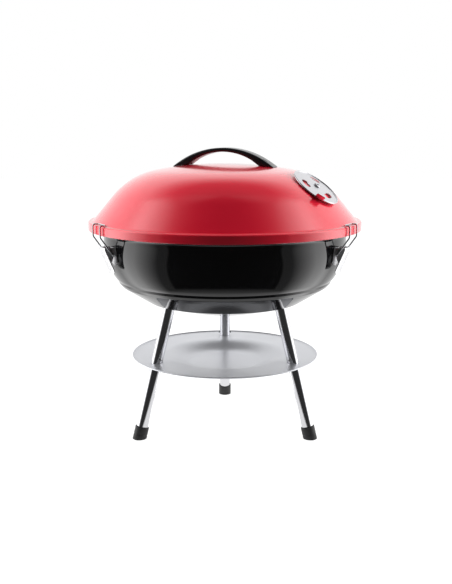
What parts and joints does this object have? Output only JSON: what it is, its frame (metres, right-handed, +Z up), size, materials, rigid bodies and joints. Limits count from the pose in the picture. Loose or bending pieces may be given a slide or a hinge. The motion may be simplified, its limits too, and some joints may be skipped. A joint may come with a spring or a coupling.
{
  "type": "kettle charcoal grill",
  "caption": "Table-top kettle charcoal grill: round bowl and domed lid held by wire latches, vent damper, wire grates, splayed tube legs and a dished ash tray.",
  "frame": {"origin": "on the floor under the kettle's own vertical axis", "axes": "+Z up, -Y to the front, +X to the right of someone who faces the front; the back leg is at +Y"},
  "size_m": [0.368, 0.3712, 0.385],
  "materials": {
    "lid_enamel": "gloss red porcelain enamel on steel sheet",
    "bowl_enamel": "gloss black porcelain enamel on steel sheet",
    "handle_plastic": "semi-matt moulded heat-proof plastic",
    "chrome": "bright chrome plate",
    "grate_steel": "plain steel wire",
    "vent_steel": "satin aluminised steel",
    "latch_steel": "bright zinc-plated steel",
    "steel": "zinc-plated steel",
    "tray_steel": "satin aluminised steel sheet",
    "rubber": "moulded rubber"
  },
  "bodies": {
    "base": {"bowl_shell": "bowl_enamel", "grate_brackets": "steel", "leg_left": "chrome", "leg_right": "chrome", "leg_back": "chrome", "foot_left": "rubber", "foot_right": "rubber", "foot_back": "rubber", "leg_plugs": "steel", "leg_screws": "steel", "leg_washers": "steel", "ash_tray": "tray_steel", "tray_pins": "steel", "latch_bracket_left": "latch_steel", "latch_bracket_right": "latch_steel", "latch_bracket_back": "latch_steel", "latch_rivets": "latch_steel", "latch_pins": "latch_steel"},
    "lid": {"lid_shell": "lid_enamel", "lid_handle": "handle_plastic", "handle_screws": "steel", "handle_washers": "steel", "vent_rivet": "vent_steel", "vent_washer": "steel"},
    "damper": {"vent_damper": "vent_steel"},
    "cooking_grate": {"cooking_grate": "chrome"},
    "charcoal_grate": {"charcoal_grate": "grate_steel"},
    "lever_left": {"latch_lever_left": "latch_steel"},
    "bail_left": {"latch_bail_left": "chrome"},
    "lever_right": {"latch_lever_right": "latch_steel"},
    "bail_right": {"latch_bail_right": "chrome"},
    "lever_back": {"latch_lever_back": "latch_steel"},
    "bail_back": {"latch_bail_back": "chrome"}
  },
  "joints": [
    {"name": "lid_lift", "type": "slide", "parent": "base", "child": "lid", "axis": [0, 0, 1], "range_m": [0, 0.2]},
    {"name": "damper_turn", "type": "hinge", "parent": "lid", "child": "damper", "pos_m": [0.11648, -0.06725, 0.33733], "axis": [0.5185, -0.2994, 0.8009], "continuous": true},
    {"name": "cooking_grate_lift", "type": "slide", "parent": "base", "child": "cooking_grate", "axis": [0, 0, 1], "range_m": [0, 0.03]},
    {"name": "charcoal_grate_lift", "type": "slide", "parent": "base", "child": "charcoal_grate", "axis": [0, 0, 1], "range_m": [0, 0.03]},
    {"name": "latch_left_open", "type": "hinge", "parent": "base", "child": "lever_left", "pos_m": [-0.14861, -0.0858, 0.2591], "axis": [-0.5, 0.866, 0], "range_deg": [0, 110]},
    {"name": "bail_left_swing", "type": "hinge", "parent": "lever_left", "child": "bail_left", "pos_m": [-0.14679, -0.08475, 0.2525], "axis": [-0.5, 0.866, 0], "range_deg": [-120, 0]},
    {"name": "latch_right_open", "type": "hinge", "parent": "base", "child": "lever_right", "pos_m": [0.14861, -0.0858, 0.2591], "axis": [-0.5, -0.866, 0], "range_deg": [0, 110]},
    {"name": "bail_right_swing", "type": "hinge", "parent": "lever_right", "child": "bail_right", "pos_m": [0.14679, -0.08475, 0.2525], "axis": [-0.5, -0.866, 0], "range_deg": [-120, 0]},
    {"name": "latch_back_open", "type": "hinge", "parent": "base", "child": "lever_back", "pos_m": [0, 0.1716, 0.2591], "axis": [1, 0, 0], "range_deg": [0, 110]},
    {"name": "bail_back_swing", "type": "hinge", "parent": "lever_back", "child": "bail_back", "pos_m": [0, 0.1695, 0.2525], "axis": [1, 0, 0], "range_deg": [-120, 0]}
  ],
  "couplings": [
    {"joint": "bail_left_swing", "follows": "latch_left_open", "ratio": -1.05},
    {"joint": "bail_right_swing", "follows": "latch_right_open", "ratio": -1.05},
    {"joint": "bail_back_swing", "follows": "latch_back_open", "ratio": -1.05}
  ]
}
